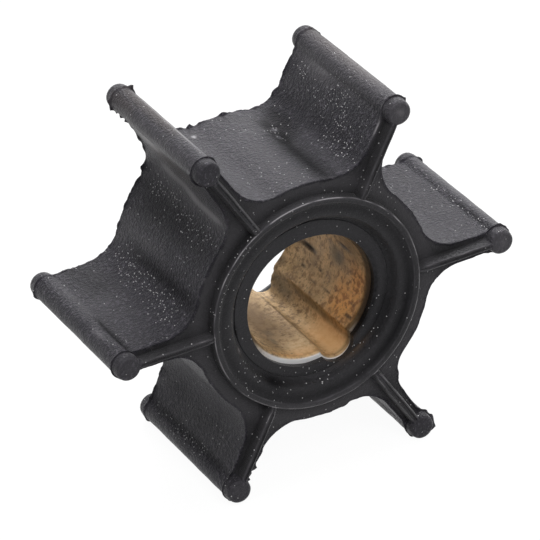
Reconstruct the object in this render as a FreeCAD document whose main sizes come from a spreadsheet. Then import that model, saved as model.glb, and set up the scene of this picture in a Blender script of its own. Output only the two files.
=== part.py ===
import FreeCAD, Part
import Sketcher
import os
import re

# Flexible-vane pump impeller, in millimetres.
# A moulded rubber rotor with six beaded vanes is bonded round a keyed bronze insert.
# The origin is the middle of the bore, whose axis is Y, and the front end faces -Y.
# The vanes stand at 0, 60, ... 300 degrees from +X towards +Z, so it rests on the lower two.
# Both ends are alike, and every section lies even about the plane half way along the bore.

doc = FreeCAD.newDocument("pump_impeller")
sheet = doc.addObject("Spreadsheet::Sheet", "sizes")

SIZES = [
    ("vaneCount", 6, "vanes round the hub"),
    ("tipCircleRadius", 20.0, "axis to the centre line of each vane's bead"),
    ("axialWidth", 18.9, "back land to front land"),
    ("faceRecess", 0.9, "end faces of hub and vanes below the lands"),
    ("vaneTipThickness", 1.9, "vane where it meets its bead"),
    ("vaneRootThickness", 2.3, "vane where it meets the hub"),
    ("rootFilletRadius", 4.0, "blend from vane to hub"),
    ("beadRadius", 1.25, "round bead along the vane's tip"),
    ("endDiscRadius", 1.17, "raised disc on each end of a bead"),
    ("collarRadius", 1.42, "thin mould-line collar behind an end disc"),
    ("collarThickness", 0.25, "collar along the axis"),
    ("ribWidth", 0.85, "wear rib along the vane's end face"),
    ("boreRadius", 6.5, "drive shaft bore of the insert"),
    ("boreChamfer", 0.25, "broken edge at each end of the bore"),
    ("keyRadius", 1.6, "half-round key groove"),
    ("keyDepth", 1.5, "deepest point of the key groove outside the bore wall"),
    ("keyAngle", 292.0, "direction of the key groove, in degrees from +X towards +Z"),
    ("insertWall", 2.7, "insert from bore wall to outside"),
    ("fluteCount", 12, "grip flutes round the insert"),
    ("fluteRadius", 0.6, "grip flute"),
    ("rubberWall", 3.4, "hub rubber round the insert"),
    ("lipStep", 0.3, "rubber lip opening outside the bore wall"),
    ("lipThickness", 0.6, "rubber lip over the insert's end"),
    ("keyNotchGap", 0.3, "rubber lip clear of the key groove"),
    ("hubShoulder", 1.5, "hub outside to sealing ring"),
    ("ringCrestWidth", 0.8, "flat crest of the sealing ring"),
    ("ringBevel", 0.2, "broken edges of the crest"),
    ("dishFallWidth", 1.3, "gentle fall inside the ring"),
    ("dishFallDepth", 0.44, "depth at the foot of that fall"),
    ("dishWallWidth", 0.65, "steep cone of the dish, across"),
    ("dishDepth", 1.4, "floor of the dish below the land"),
    ("discBevel", 0.15, "broken rim of an end disc"),
]
LIMITS = [
    ("insertOuterRadius", "boreRadius + insertWall"),
    ("hubRadius", "insertOuterRadius + rubberWall"),
    ("lipRadius", "boreRadius + lipStep"),
    ("insertEndDepth", "dishDepth + lipThickness"),
    ("insertLength", "axialWidth - 2 * insertEndDepth"),
    ("ringOuterRadius", "hubRadius - hubShoulder"),
    ("ringInnerRadius", "ringOuterRadius - ringCrestWidth"),
    ("dishRimRadius", "ringInnerRadius - dishFallWidth"),
    ("dishFloorRadius", "dishRimRadius - dishWallWidth"),
    ("keyCentreRadius", "boreRadius + keyDepth - keyRadius"),
    ("starThickness", "axialWidth - 2 * faceRecess"),
    # The blend may run out along the vane no further than the bead's neck.
    ("blendReach", "tipCircleRadius - 1.5 * beadRadius"),
    ("blendLimit", "(blendReach ^ 2 - hubRadius ^ 2) / (2 * hubRadius - vaneRootThickness)"),
    ("rootBlendRadius", "min(rootFilletRadius; blendLimit)"),
]


def fill_sheet():
    row = 1
    for name, number, note in SIZES:
        sheet.set("A%d" % row, note)
        sheet.set("B%d" % row, str(number))
        sheet.setAlias("B%d" % row, name)
        row += 1
    for name, formula in LIMITS:
        sheet.set("A%d" % row, "worked out")
        sheet.set("B%d" % row, "=" + formula)
        sheet.setAlias("B%d" % row, name)
        row += 1
    doc.recompute()


def size(name):
    return float(getattr(sheet, name))


def bound(formula):
    """The formula with the sheet's name put in front of each size."""
    names = {entry[0] for entry in SIZES + LIMITS}
    words = re.split(r"([A-Za-z]+)", formula)
    return "".join("sizes." + word if word in names else word for word in words)


def new_body(label):
    body = doc.addObject("PartDesign::Body", label)
    body.Label = label
    body.Placement = FreeCAD.Placement()
    return body


def origin_feature(body, role):
    return next(feature for feature in body.Origin.OriginFeatures if feature.Role == role)


def new_sketch(body, name, role="XZ_Plane", lift=None, turn=None):
    """Sketch on one of the body's own planes, lifted to the front and turned by formulas."""
    sketch = body.newObject("Sketcher::SketchObject", name)
    sketch.AttachmentSupport = (origin_feature(body, role), [""])
    sketch.MapMode = "FlatFace"
    if turn:
        sketch.AttachmentOffset = FreeCAD.Placement(
            FreeCAD.Vector(), FreeCAD.Rotation(FreeCAD.Vector(0, 0, 1), 1)
        )
        sketch.setExpression("AttachmentOffset.Rotation.Angle", bound(turn))
    if lift:
        sketch.setExpression("AttachmentOffset.Base.z", bound(lift))
    return sketch


def bind(sketch, constraint, formula):
    index = sketch.addConstraint(constraint)
    sketch.setExpression("Constraints[%d]" % index, bound(formula))


def number(sketch, formula):
    return float(sketch.evalExpression(bound(formula)))


def pin_point(sketch, geometry, end, across, up):
    """Hold one point of a sketch at two formulas, both measured from the origin."""
    for kind, axis, formula in (("DistanceX", -2, across), ("DistanceY", -1, up)):
        if formula == "0":
            sketch.addConstraint(Sketcher.Constraint("PointOnObject", geometry, end, axis))
        else:
            value = number(sketch, formula)
            bind(sketch, Sketcher.Constraint(kind, -1, 1, geometry, end, value), formula)


def corner_points(sketch, corners):
    return [FreeCAD.Vector(number(sketch, x), number(sketch, y), 0) for x, y in corners]


def join_lines(sketch, points):
    """Closed loop of lines, each starting at its own point."""
    count = len(points)
    for index in range(count):
        sketch.addGeometry(Part.LineSegment(points[index], points[(index + 1) % count]))
    for index in range(count):
        following = (index + 1) % count
        sketch.addConstraint(Sketcher.Constraint("Coincident", index, 2, following, 1))


def add_mirrored_outline(sketch, corners):
    """Closed outline with its other half mirrored in the sketch's X axis."""
    upper = corner_points(sketch, corners)
    lower = [FreeCAD.Vector(point.x, -point.y, 0) for point in reversed(upper)]
    join_lines(sketch, upper + lower)
    for index, (across, up) in enumerate(corners):
        pin_point(sketch, index, 1, across, up)
        twin = 2 * len(corners) - 1 - index
        sketch.addConstraint(Sketcher.Constraint("Symmetric", index, 1, twin, 1, -1))


def add_circle(sketch, across, radius):
    """Circle centred on the sketch's X axis."""
    centre = FreeCAD.Vector(number(sketch, across), 0, 0)
    circle = Part.Circle(centre, FreeCAD.Vector(0, 0, 1), number(sketch, radius))
    geometry = sketch.addGeometry(circle)
    pin_point(sketch, geometry, 3, across, "0")
    value = number(sketch, radius)
    bind(sketch, Sketcher.Constraint("Radius", geometry, value), radius)


def revolve(body, name, sketch):
    """Full turn about Y, the upright axis of a sketch on the XY plane."""
    feature = body.newObject("PartDesign::Revolution", name)
    feature.Profile = sketch
    feature.ReferenceAxis = (sketch, ["V_Axis"])
    feature.Angle = 360
    return feature


def pad(body, name, sketch, length, even=True):
    """Raise a sketch, even about its own plane unless told otherwise."""
    feature = body.newObject("PartDesign::Pad", name)
    feature.Profile = sketch
    feature.Midplane = even
    feature.setExpression("Length", bound(length))
    return feature


def pocket(body, name, sketch, length):
    """Cut a sketch through, even about its own plane."""
    before = body.Tip
    feature = body.newObject("PartDesign::Pocket", name)
    feature.Profile = sketch
    feature.Midplane = True
    feature.setExpression("Length", bound(length))
    doc.recompute()
    if feature.Shape.Volume >= before.Shape.Volume:
        raise RuntimeError("%s cuts nothing" % name)
    return feature


def repeat_round(body, name, originals, count):
    feature = body.newObject("PartDesign::PolarPattern", name)
    feature.Originals = originals
    feature.Axis = (origin_feature(body, "Y_Axis"), [""])
    feature.Angle = 360
    feature.setExpression("Occurrences", bound(count))
    body.Tip = feature
    return feature


def dress_edges(body, kind, name, base, measure, formula, wanted):
    """Fillet or chamfer on every edge of the base that the given test picks out."""
    doc.recompute()
    edges = [
        "Edge%d" % index
        for index, edge in enumerate(base.Shape.Edges, start=1)
        if wanted(edge)
    ]
    feature = body.newObject("PartDesign::" + kind, name)
    feature.Base = (base, edges)
    feature.setExpression(measure, bound(formula))
    body.Tip = feature
    return feature


def fillet(body, name, base, radius, wanted):
    return dress_edges(body, "Fillet", name, base, "Radius", radius, wanted)


def bevel(body, name, base, width, wanted):
    return dress_edges(body, "Chamfer", name, base, "Size", width, wanted)


def land_circle(edge, radius):
    """Is the edge part of a circle of this radius, on one of the two lands?"""
    curve = edge.Curve
    if not isinstance(curve, Part.Circle) or abs(curve.Radius - radius) > 1e-4:
        return False
    return abs(abs(curve.Center.y) - size("axialWidth") / 2) < 1e-4


def ring_edge(edge):
    radii = (size("ringOuterRadius"), size("ringInnerRadius"))
    return any(land_circle(edge, radius) for radius in radii)


def disc_rim(edge):
    return land_circle(edge, size("endDiscRadius"))


def vane_root(edge):
    """Is the edge a line along Y where a vane leaves the hub?"""
    if len(edge.Vertexes) != 2 or not isinstance(edge.Curve, Part.Line):
        return False
    back, front = (vertex.Point for vertex in edge.Vertexes)
    along_axis = abs(back.x - front.x) < 1e-4 and abs(back.z - front.z) < 1e-4
    return along_axis and abs((back.x ** 2 + back.z ** 2) ** 0.5 - size("hubRadius")) < 1e-3


def make_hub(body):
    """Hub ring: barrel, sealing rings, dished ends, lips and the seat of the insert."""
    section = new_sketch(body, "hub_section", "XY_Plane")
    add_mirrored_outline(
        section,
        [
            ("hubRadius", "starThickness / 2"),
            ("ringOuterRadius", "starThickness / 2"),
            ("ringOuterRadius", "axialWidth / 2"),
            ("ringInnerRadius", "axialWidth / 2"),
            ("dishRimRadius", "axialWidth / 2 - dishFallDepth"),
            ("dishFloorRadius", "axialWidth / 2 - dishDepth"),
            ("lipRadius", "axialWidth / 2 - dishDepth"),
            ("lipRadius", "insertLength / 2"),
            ("insertOuterRadius", "insertLength / 2"),
        ],
    )
    hub = revolve(body, "hub", section)
    return bevel(body, "ring_edges", hub, "ringBevel", ring_edge)


def make_grip_ridges(body):
    """Rubber that fills the insert's grip flutes, so that the insert can't slip."""
    sketch = new_sketch(body, "ridge_section", turn="keyAngle + 180 / fluteCount")
    add_circle(sketch, "insertOuterRadius", "fluteRadius")
    ridge = pad(body, "ridge", sketch, "insertLength")
    return repeat_round(body, "ridges", [ridge], "fluteCount")


def make_key_notches(body):
    """Notches in both rubber lips, clear of the insert's key groove."""
    sketch = new_sketch(body, "notch_section", turn="keyAngle")
    add_circle(sketch, "keyCentreRadius", "keyRadius + keyNotchGap")
    return pocket(body, "key_notches", sketch, "axialWidth")


def make_vanes(body):
    """One vane with its bead, end discs, collars and ribs, repeated round the hub."""
    web_section = new_sketch(body, "web_section")
    add_mirrored_outline(
        web_section,
        [
            ("hubRadius - hubShoulder", "vaneRootThickness / 2"),
            ("hubRadius", "vaneRootThickness / 2"),
            ("tipCircleRadius", "vaneTipThickness / 2"),
        ],
    )
    web = pad(body, "web", web_section, "starThickness")

    bead_section = new_sketch(body, "bead_section")
    add_circle(bead_section, "tipCircleRadius", "beadRadius")
    bead = pad(body, "bead", bead_section, "starThickness")

    disc_section = new_sketch(body, "disc_section")
    add_circle(disc_section, "tipCircleRadius", "endDiscRadius")
    discs = pad(body, "end_discs", disc_section, "axialWidth")

    collars = []
    for name, lift in (
        ("front_collar", "starThickness / 2 - collarThickness"),
        ("back_collar", "-starThickness / 2"),
    ):
        collar_section = new_sketch(body, name + "_section", lift=lift)
        add_circle(collar_section, "tipCircleRadius", "collarRadius")
        collars.append(pad(body, name, collar_section, "collarThickness", even=False))

    rib_section = new_sketch(body, "rib_section")
    add_mirrored_outline(
        rib_section,
        [
            ("ringOuterRadius - ringBevel", "ribWidth / 2"),
            ("tipCircleRadius", "ribWidth / 2"),
        ],
    )
    ribs = pad(body, "ribs", rib_section, "axialWidth")

    originals = [web, bead, discs] + collars + [ribs]
    return repeat_round(body, "vanes", originals, "vaneCount")


def make_rotor():
    """The one-piece rubber moulding."""
    body = new_body("rubber_rotor")
    make_hub(body)
    make_grip_ridges(body)
    make_key_notches(body)
    vanes = make_vanes(body)
    roots = fillet(body, "vane_roots", vanes, "rootBlendRadius", vane_root)
    bevel(body, "disc_rims", roots, "discBevel", disc_rim)
    return body


def make_insert():
    """The keyed insert, with grip flutes that the rubber fills."""
    body = new_body("hub_insert")
    section = new_sketch(body, "insert_section", "XY_Plane")
    add_mirrored_outline(
        section,
        [
            ("boreRadius", "insertLength / 2 - boreChamfer"),
            ("boreRadius + boreChamfer", "insertLength / 2"),
            ("insertOuterRadius", "insertLength / 2"),
        ],
    )
    revolve(body, "sleeve", section)

    groove_section = new_sketch(body, "groove_section", turn="keyAngle")
    add_circle(groove_section, "keyCentreRadius", "keyRadius")
    pocket(body, "key_groove", groove_section, "insertLength")

    flute_section = new_sketch(body, "flute_section", turn="keyAngle + 180 / fluteCount")
    add_circle(flute_section, "insertOuterRadius", "fluteRadius")
    flute = pocket(body, "flute", flute_section, "insertLength")
    repeat_round(body, "flutes", [flute], "fluteCount")
    return body


def check_document(bodies):
    doc.recompute()
    for item in doc.Objects:
        if "Invalid" in item.State or "Error" in item.State:
            raise RuntimeError("%s failed: %s" % (item.Name, item.State))
    for body in bodies:
        shape = body.Shape
        if shape.isNull() or not shape.isValid() or len(shape.Solids) != 1:
            raise RuntimeError("%s isn't one sound solid" % body.Label)


fill_sheet()
bodies = [make_rotor(), make_insert()]
check_document(bodies)

os.makedirs("parts", exist_ok=True)
for body in bodies:
    body.Shape.exportStep("parts/%s.step" % body.Label)
    box = body.Shape.BoundBox
    print(
        "%s: %.1f mm3, x %.2f..%.2f, y %.2f..%.2f, z %.2f..%.2f"
        % (body.Label, body.Shape.Volume, box.XMin, box.XMax, box.YMin, box.YMax, box.ZMin, box.ZMax)
    )
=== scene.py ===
import math

import bmesh
import bpy
import numpy as np
from mathutils import Matrix, Vector, noise
from mathutils.geometry import delaunay_2d_cdt


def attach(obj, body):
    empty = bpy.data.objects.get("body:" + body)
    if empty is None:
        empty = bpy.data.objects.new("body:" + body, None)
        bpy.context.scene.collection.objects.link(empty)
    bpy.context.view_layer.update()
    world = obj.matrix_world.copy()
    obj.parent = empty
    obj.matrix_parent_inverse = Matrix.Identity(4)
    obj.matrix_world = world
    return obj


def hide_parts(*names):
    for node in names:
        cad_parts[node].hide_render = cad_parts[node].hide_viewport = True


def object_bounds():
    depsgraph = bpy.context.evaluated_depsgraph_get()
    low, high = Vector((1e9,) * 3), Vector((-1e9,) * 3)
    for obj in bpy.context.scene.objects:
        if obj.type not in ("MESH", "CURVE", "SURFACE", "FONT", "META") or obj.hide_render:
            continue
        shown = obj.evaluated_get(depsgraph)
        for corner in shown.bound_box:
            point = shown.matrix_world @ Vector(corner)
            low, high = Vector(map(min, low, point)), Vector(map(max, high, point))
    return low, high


# Flexible-vane pump impeller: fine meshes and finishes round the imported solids, with the
# moulding flash, scuffs and dust of the photographed one. Lengths are in millimetres until
# a mesh is made. The bore axis is Y, the front end faces -Y, and a place on an end face is
# given as (x, z). Angles run from +X towards +Z, and vane k stands at 60 k degrees.

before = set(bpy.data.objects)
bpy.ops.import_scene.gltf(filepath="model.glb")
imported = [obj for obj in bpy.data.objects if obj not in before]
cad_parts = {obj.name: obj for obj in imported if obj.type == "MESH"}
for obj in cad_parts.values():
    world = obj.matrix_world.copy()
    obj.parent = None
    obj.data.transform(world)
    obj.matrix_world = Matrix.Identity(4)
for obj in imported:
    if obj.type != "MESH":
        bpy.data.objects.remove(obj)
cad_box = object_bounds()

# Without a seed, noise_vector would differ from run to run.
noise.seed_set(1)

MM = 0.001
FRONT, BACK = -1, 1

# The star of hub and vanes
VANES = 6
TIP_CIRCLE_RADIUS = 20.0
HUB_RADIUS = 12.6
BEAD_RADIUS = 1.25
VANE_TIP_THICKNESS = 1.9
VANE_ROOT_THICKNESS = 2.3
ROOT_BLEND_RADIUS = 4.0
NECK_BLEND_RADIUS = 0.8
LAND_HALF = 9.45
FACE_RECESS = 0.9
STAR_HALF = LAND_HALF - FACE_RECESS

# The bore, its key groove and the rubber round them
BORE_RADIUS = 6.5
BORE_BEVEL = 0.25
KEY_ANGLE = 292.0
KEY_RADIUS = 1.6
KEY_CENTRE_RADIUS = 6.4
INSERT_RADIUS = 9.2
INSERT_HALF = 7.45
FLUTES = 12
FLUTE_RADIUS = 0.6
LIP_RADIUS = 6.8
# The rubber lips as they were trimmed: (angle, radius of the opening)
FRONT_LIP = [
    (0, 6.8), (50, 6.72), (85, 6.53), (115, 6.58), (150, 6.78), (190, 6.8), (225, 7.1),
    (262, 7.22), (300, 6.98), (335, 6.8), (360, 6.8),
]
BACK_LIP = [(0, 6.9), (360, 6.9)]
# Notches in the lips round the key groove: (angle, radius)
FRONT_NOTCH = (291.0, 1.8)
BACK_NOTCH = (292.0, 1.95)

# Height of the end face above the star's plane, by distance from the axis
RING_PROFILE = [
    (0, -0.5), (8.14, -0.5), (8.2, -0.58), (8.25, -0.58), (8.31, -0.5), (8.36, -0.47),
    (8.62, -0.08), (8.86, 0.36), (9, 0.47), (9.2, 0.51), (9.6, 0.55), (10, 0.58), (10.24, 0.62),
    (10.36, 0.72), (10.46, 0.85), (10.58, 0.9), (10.86, 0.9), (10.98, 0.87), (11.07, 0.77),
    (11.13, 0), (99, 0),
]
# The same by distance from a vane's centre line, and from a bead's centre. The vanes' ribs
# and discs stand a little prouder than the sealing ring, which they meet in a short ramp.
RIB_PROFILE = [
    (0, 0.98), (0.06, 1.02), (0.14, 1.13), (0.27, 1.08), (0.35, 0.9), (0.42, 0.6), (0.48, 0),
]
DISC_PROFILE = [(0, 1.13), (0.95, 1.13), (1.12, 1.07), (1.22, 0.93), (1.28, 0.65), (1.31, 0)]
DISC_REACH = 1.36
# Share of a rib's height, by distance from the axis
RIB_RAMP = [(10.9, 0.9 / 1.13), (11.6, 1.0)]
RIB_START = 10.7
# Mesh lines along a rib: where they start, how far they stop short of the bead's centre,
# and where loose points start to keep clear of them
RIB_LINE_START = 11.05
RIB_LINE_STOP = 0.8
RIB_CLEAR_START = 11.0
# Depth of the dish's floor below the star's plane
DISH_FLOOR = 0.5
# A height that no form of an end face reaches down to
FAR_BELOW = -9.0

# Spacing of points round the star, along it, over the front face and in the bore, and the
# number of points round each lip
COLUMN_STEP = 0.215
ROW_STEP = 0.22
FILL_STEP = 0.34
BORE_STEP = 0.12
BORE_ROW_STEP = 0.15
LIP_COLUMNS = 540
# Shares of the fill step: the back face, rings, disc rims, clearance and jitter
BACK_SHARE = 1.4
RING_SHARE = 0.9
RIM_SHARE = 0.7
CLEAR_SHARE = 0.42
JITTER_SHARE = 0.12
JITTER_RATE = 3.7
# Lines that shape an end face keep this far from its borders
BORDER_GAP = 0.02
# Edges that turn by more than this many degrees stay sharp
SHARP_TURN = 40


def turned(points, degrees):
    """Points of an end face, turned about the axis."""
    angle = math.radians(degrees)
    cosine, sine = math.cos(angle), math.sin(angle)
    across, up = points[:, 0], points[:, 1]
    return np.column_stack((across * cosine - up * sine, across * sine + up * cosine))


def spokes(angles):
    return np.column_stack((np.cos(angles), np.sin(angles)))


def bearing(offset):
    return math.atan2(offset[1], offset[0]) % (2 * math.pi)


def arc(centre, radius, start, end, step):
    """Places and outward directions along an arc, without its last place."""
    count = max(2, round(abs(end - start) * radius / step))
    rays = spokes(np.linspace(start, end, count, endpoint=False))
    return centre + radius * rays, rays


def at_level(flat, level):
    """Places on a plane across the axis."""
    return np.column_stack((flat[:, 0], np.full(len(flat), level), flat[:, 1]))


def raised(places, directions, height, depth):
    """A sheet by column and row, raised from an outline along its directions."""
    across = places[:, None, :] + height[:, :, None] * directions[:, None, :]
    depth = np.broadcast_to(depth, height.shape)
    return np.stack((across[:, :, 0], depth, across[:, :, 1]), axis=-1)


def half_vane(step):
    """Outline from the tip of the vane along +X, over its upper flank, to the gap's middle."""
    slope = (VANE_TIP_THICKNESS - VANE_ROOT_THICKNESS) / 2 / (TIP_CIRCLE_RADIUS - HUB_RADIUS)
    along = np.array([1.0, slope]) / math.hypot(1.0, slope)
    outward = np.array([-along[1], along[0]])
    flank = outward @ np.array([HUB_RADIUS, VANE_ROOT_THICKNESS / 2])
    bead = np.array([TIP_CIRCLE_RADIUS, 0.0])

    neck_reach = BEAD_RADIUS + NECK_BLEND_RADIUS
    neck_offset = flank + NECK_BLEND_RADIUS - bead @ outward
    neck_run = bead @ along - math.sqrt(neck_reach**2 - neck_offset**2)
    neck = outward * (flank + NECK_BLEND_RADIUS) + along * neck_run
    bead_end = bead + (neck - bead) * BEAD_RADIUS / neck_reach
    neck_end = neck - NECK_BLEND_RADIUS * outward

    root_offset = flank + ROOT_BLEND_RADIUS
    root_run = math.sqrt((HUB_RADIUS + ROOT_BLEND_RADIUS) ** 2 - root_offset**2)
    root = outward * root_offset + along * root_run
    root_start = root - ROOT_BLEND_RADIUS * outward
    hub_start = root * HUB_RADIUS / (HUB_RADIUS + ROOT_BLEND_RADIUS)

    bead_arc = arc(bead, BEAD_RADIUS, 0.0, bearing(bead_end - bead), step)
    neck_arc = arc(
        neck, NECK_BLEND_RADIUS, bearing(bead_end - neck), bearing(neck_end - neck), step / 2
    )
    count = round(np.linalg.norm(root_start - neck_end) / step)
    share = np.linspace(0, 1, count, endpoint=False)[:, None]
    flank_line = neck_end + share * (root_start - neck_end), np.repeat([outward], count, 0)
    root_arc = arc(
        root, ROOT_BLEND_RADIUS, bearing(root_start - root), bearing(hub_start - root), step
    )
    hub_arc = arc(np.zeros(2), HUB_RADIUS, bearing(hub_start), math.pi / VANES, step)
    stretches = [
        bead_arc,
        (neck_arc[0], -neck_arc[1]),
        flank_line,
        (root_arc[0], -root_arc[1]),
        hub_arc,
    ]
    return np.vstack([part[0] for part in stretches]), np.vstack([part[1] for part in stretches])


def star_outline(step):
    """Closed outline of hub and vanes, counter-clockwise from the tip of vane 0.

    Sector k runs from the tip of vane k to that of vane k + 1, and sweep is the length
    along the outline from the first of them.
    """
    places, directions = half_vane(step)
    mirror = np.array([1.0, -1.0])
    middle = spokes(np.array([math.pi / VANES]))
    places = np.vstack(
        (places, middle * HUB_RADIUS, turned(places[1:] * mirror, 360 / VANES)[::-1])
    )
    directions = np.vstack(
        (directions, middle, turned(directions[1:] * mirror, 360 / VANES)[::-1])
    )
    gaps = np.linalg.norm(np.diff(places, axis=0), axis=1)
    sweep = np.concatenate(([0.0], np.cumsum(gaps)))
    loops = [(turned(places, 60 * k), turned(directions, 60 * k)) for k in range(VANES)]
    return {
        "place": np.vstack([loop[0] for loop in loops]),
        "direction": np.vstack([loop[1] for loop in loops]),
        "sector": np.repeat(np.arange(VANES), len(places)),
        "sweep": np.tile(sweep, VANES),
        "length": sweep[-1] + gaps[-1],
    }


# Flash where the mould's halves met: (sector, sweep, half its width, reach)
BACK_FLASH = [
    (0, 0.6, 0.5, 0.3),
    (0, 4.4, 0.4, 0.15),
    (1, 3.2, 0.3, 0.15),
    (1, 5.6, 0.4, 0.18),
    (1, 7.8, 0.5, 0.22),
    (1, 10.2, 0.4, 0.15),
    (1, 13.6, 0.5, 0.26),
    (1, 16.2, 0.3, 0.15),
    (1, 17.3, 0.3, 0.38),
    (1, 18.3, 0.4, 0.2),
    (1, 26.2, 0.3, 0.4),
    (1, 26.8, 0.4, 0.22),
    (2, 1.1, 0.25, 0.4),
    (2, 1.9, 0.3, 0.32),
    (2, 2.6, 0.25, 0.3),
    (2, 3.4, 0.3, 0.3),
    (2, 4.2, 0.2, 0.25),
    (2, 6.6, 0.7, 0.22),
    (2, 7.9, 0.5, 0.2),
    (2, 10, 0.35, 0.36),
    (2, 14, 0.4, 0.15),
    (2, 16.2, 0.4, 0.15),
]
FRONT_FLASH = [
    (0, 27.25, 0.28, 0.38),
    (0, 26.6, 0.4, 0.2),
    (3, 1.5, 0.3, 0.3),
    (3, 2.1, 0.3, 0.45),
    (4, 3, 0.25, 0.33),
    (4, 3.6, 0.3, 0.18),
    (4, 4.3, 0.3, 0.4),
    (4, 16.3, 0.5, 0.12),
    (4, 26.5, 0.35, 0.3),
    (4, 27.6, 0.5, 0.5),
    (5, 0.5, 0.7, 0.95),
    (5, 1.3, 0.6, 0.7),
    (5, 2.2, 0.5, 0.35),
    (5, 8.3, 0.6, 0.14),
]
FLASH = {FRONT: FRONT_FLASH, BACK: BACK_FLASH}
# Reach of ragged flash, the extra reach round the beads, and sweep from tip to bead's end
RAGGED_REACH = {FRONT: 0.05, BACK: 0.14}
COLLAR_REACH = {FRONT: 0.16, BACK: 0.09}
BEAD_SWEEP = 3.1

# Where the cured rubber stands fuller or leaner than drawn: (sector, sweep, half width, shift)
FRONT_SHIFT = [
    (5, 22, 3.5, 0.24),
    (5, 13.5, 4, 0.1),
    (4, 13.5, 4.5, 0.16),
    (4, 7, 3, 0.28),
    (3, 4.5, 2.5, 0.12),
]
BACK_SHIFT = [
    (1, 4.5, 2.5, 0.18),
    (1, 13, 4.5, -0.24),
    (2, 12, 4, -0.13),
    (2, 22, 3.5, 0.17),
    (3, 20.5, 3, 0.15),
]
SHIFTS = {FRONT: FRONT_SHIFT, BACK: BACK_SHIFT}


def edge_shift(star, end):
    run = star["sector"] * star["length"] + star["sweep"]
    shift = np.zeros(len(run))
    for where, middle, half_width, amount in SHIFTS[end]:
        away = (run - where * star["length"] - middle) / half_width
        shift += amount * np.exp(-(away**4))
    return shift


def flash_reach(star, end):
    """How far the flash stands out of each column at this end."""
    sweep, sector, length = star["sweep"], star["sector"], star["length"]
    run = sector * length + sweep
    ragged = np.array(
        [
            noise.noise((value * 1.1, 7.0 * end, 0.5)) + 0.6 * noise.noise((value * 3.1, end, 4.5))
            for value in run
        ]
    )
    reach = RAGGED_REACH[end] * np.clip(ragged + 0.25, 0, 1.2)
    near_bead = np.clip((BEAD_SWEEP - np.minimum(sweep, length - sweep)) / 0.3 + 1, 0, 1)
    reach += COLLAR_REACH[end] * near_bead * np.clip(1 + 0.9 * ragged, 1.0, 1.7)
    for where, middle, half_width, height in FLASH[end]:
        away = run - (where * length + middle)
        away = (away + 3 * length) % (6 * length) - 3 * length
        spot = np.clip(1.25 - np.abs(away) / half_width, 0, 1)
        reach = np.maximum(reach, height * spot * (1 + 0.35 * ragged))
    return reach


# Height of the flash over a row, by its distance from the end, as a share of the reach
FIN_ROWS = [(0, 0.9), (0.05, 1), (0.12, 0.8), (0.19, 0.25), (0.28, 0), (0.45, 0)]
# Rounding of the edge, by distance from the end
EDGE_ROUND = [(0, -0.05), (0.05, -0.012), (0.12, 0)]

# Bumps and dents of the moulding: (sector, sweep, y, half sweep, half y, height)
SCUFFS = [
    (1, 10.7, 3, 0.4, 0.3, 0.1),
    (1, 10.4, 4.3, 0.3, 0.3, 0.06),
    (1, 11.9, 2.5, 0.3, 0.25, 0.07),
    (1, 10.9, 1.5, 0.5, 0.6, -0.05),
    (1, 17.6, 6.5, 0.2, 0.2, 0.08),
    (5, 8.3, -8.2, 0.5, 0.4, 0.05),
    (2, 25.1, -5.5, 0.22, 3.4, -0.11),
    (3, 2.8, -5.5, 0.3, 3, -0.05),
    (0, 2.5, -6, 0.3, 2.2, -0.05),
    (3, 21.3, -4, 0.5, 0.3, -0.04),
]
# Steps left by the mould's inserts: (sector, sweep at the back, sweep at the front, half
# width, height, y where it fades)
STEPS = [(1, 8.5, 10.1, 0.45, 0.09, 1.5)]
# Unevenness of the side sheet: (height, waves per millimetre)
SIDE_WAVES = [(0.035, 0.45), (0.014, 1.9)]


def relief(star, rows):
    """Height of the moulding's own unevenness over the side sheet."""
    place, sweep, sector = star["place"], star["sweep"], star["sector"]
    height = np.zeros((len(place), len(rows)))
    for column, (x, z) in enumerate(place):
        for row, y in enumerate(rows):
            point = Vector((x, y, z))
            height[column, row] = sum(
                rise * noise.noise(point * rate) for rise, rate in SIDE_WAVES
            )
    for where, middle, depth, half_sweep, half_y, bump in SCUFFS:
        across = (sweep - middle) / half_sweep
        along = (rows - depth) / half_y
        spot = np.exp(-across[:, None] ** 2 - np.abs(along[None, :]) ** 3)
        height += bump * spot * (sector == where)[:, None]
    for where, at_back, at_front, half_width, rise, fade in STEPS:
        share = (STAR_HALF - rows) / (2 * STAR_HALF)
        middle = at_back + (at_front - at_back) * share
        across = (sweep[:, None] - middle[None, :]) / half_width
        strength = 1 / (1 + np.exp((rows - fade) / 1.2))
        bump = np.exp(-(across**4)) * strength[None, :]
        height += rise * bump * (sector == where)[:, None]
    return height


def sheet_rows():
    ends = np.array([offset for offset, _ in FIN_ROWS])
    inner = STAR_HALF - ends[-1]
    count = round(2 * inner / ROW_STEP)
    middle = np.linspace(-inner, inner, count + 1)[1:-1]
    return np.concatenate((-STAR_HALF + ends, middle, (STAR_HALF - ends)[::-1]))


def side_sheet(star):
    """Places of the sheet round the star, by column and row."""
    rows = sheet_rows()
    lift = relief(star, rows)
    shift = np.zeros_like(lift)
    for end in (FRONT, BACK):
        reach = flash_reach(star, end)
        from_end = STAR_HALF - end * rows
        share = np.interp(from_end, *zip(*FIN_ROWS))
        lift += reach[:, None] * share[None, :]
        rounding = np.interp(from_end, *zip(*EDGE_ROUND))
        lift += np.where(reach < 0.04, 1.0, 0.3)[:, None] * rounding[None, :]
        wave = np.array([noise.noise((x * 0.9, 3.0 * end, z * 0.9)) for x, z in star["place"]])
        shift += 0.06 * wave[:, None] * np.clip(1 - from_end, 0, 1)[None, :]
        share = np.clip(0.5 + end * rows / (2 * STAR_HALF), 0, 1)
        lift += edge_shift(star, end)[:, None] * (share**2 * (3 - 2 * share))[None, :]
    return raised(star["place"], star["direction"], lift, rows[None, :] + shift)


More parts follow.
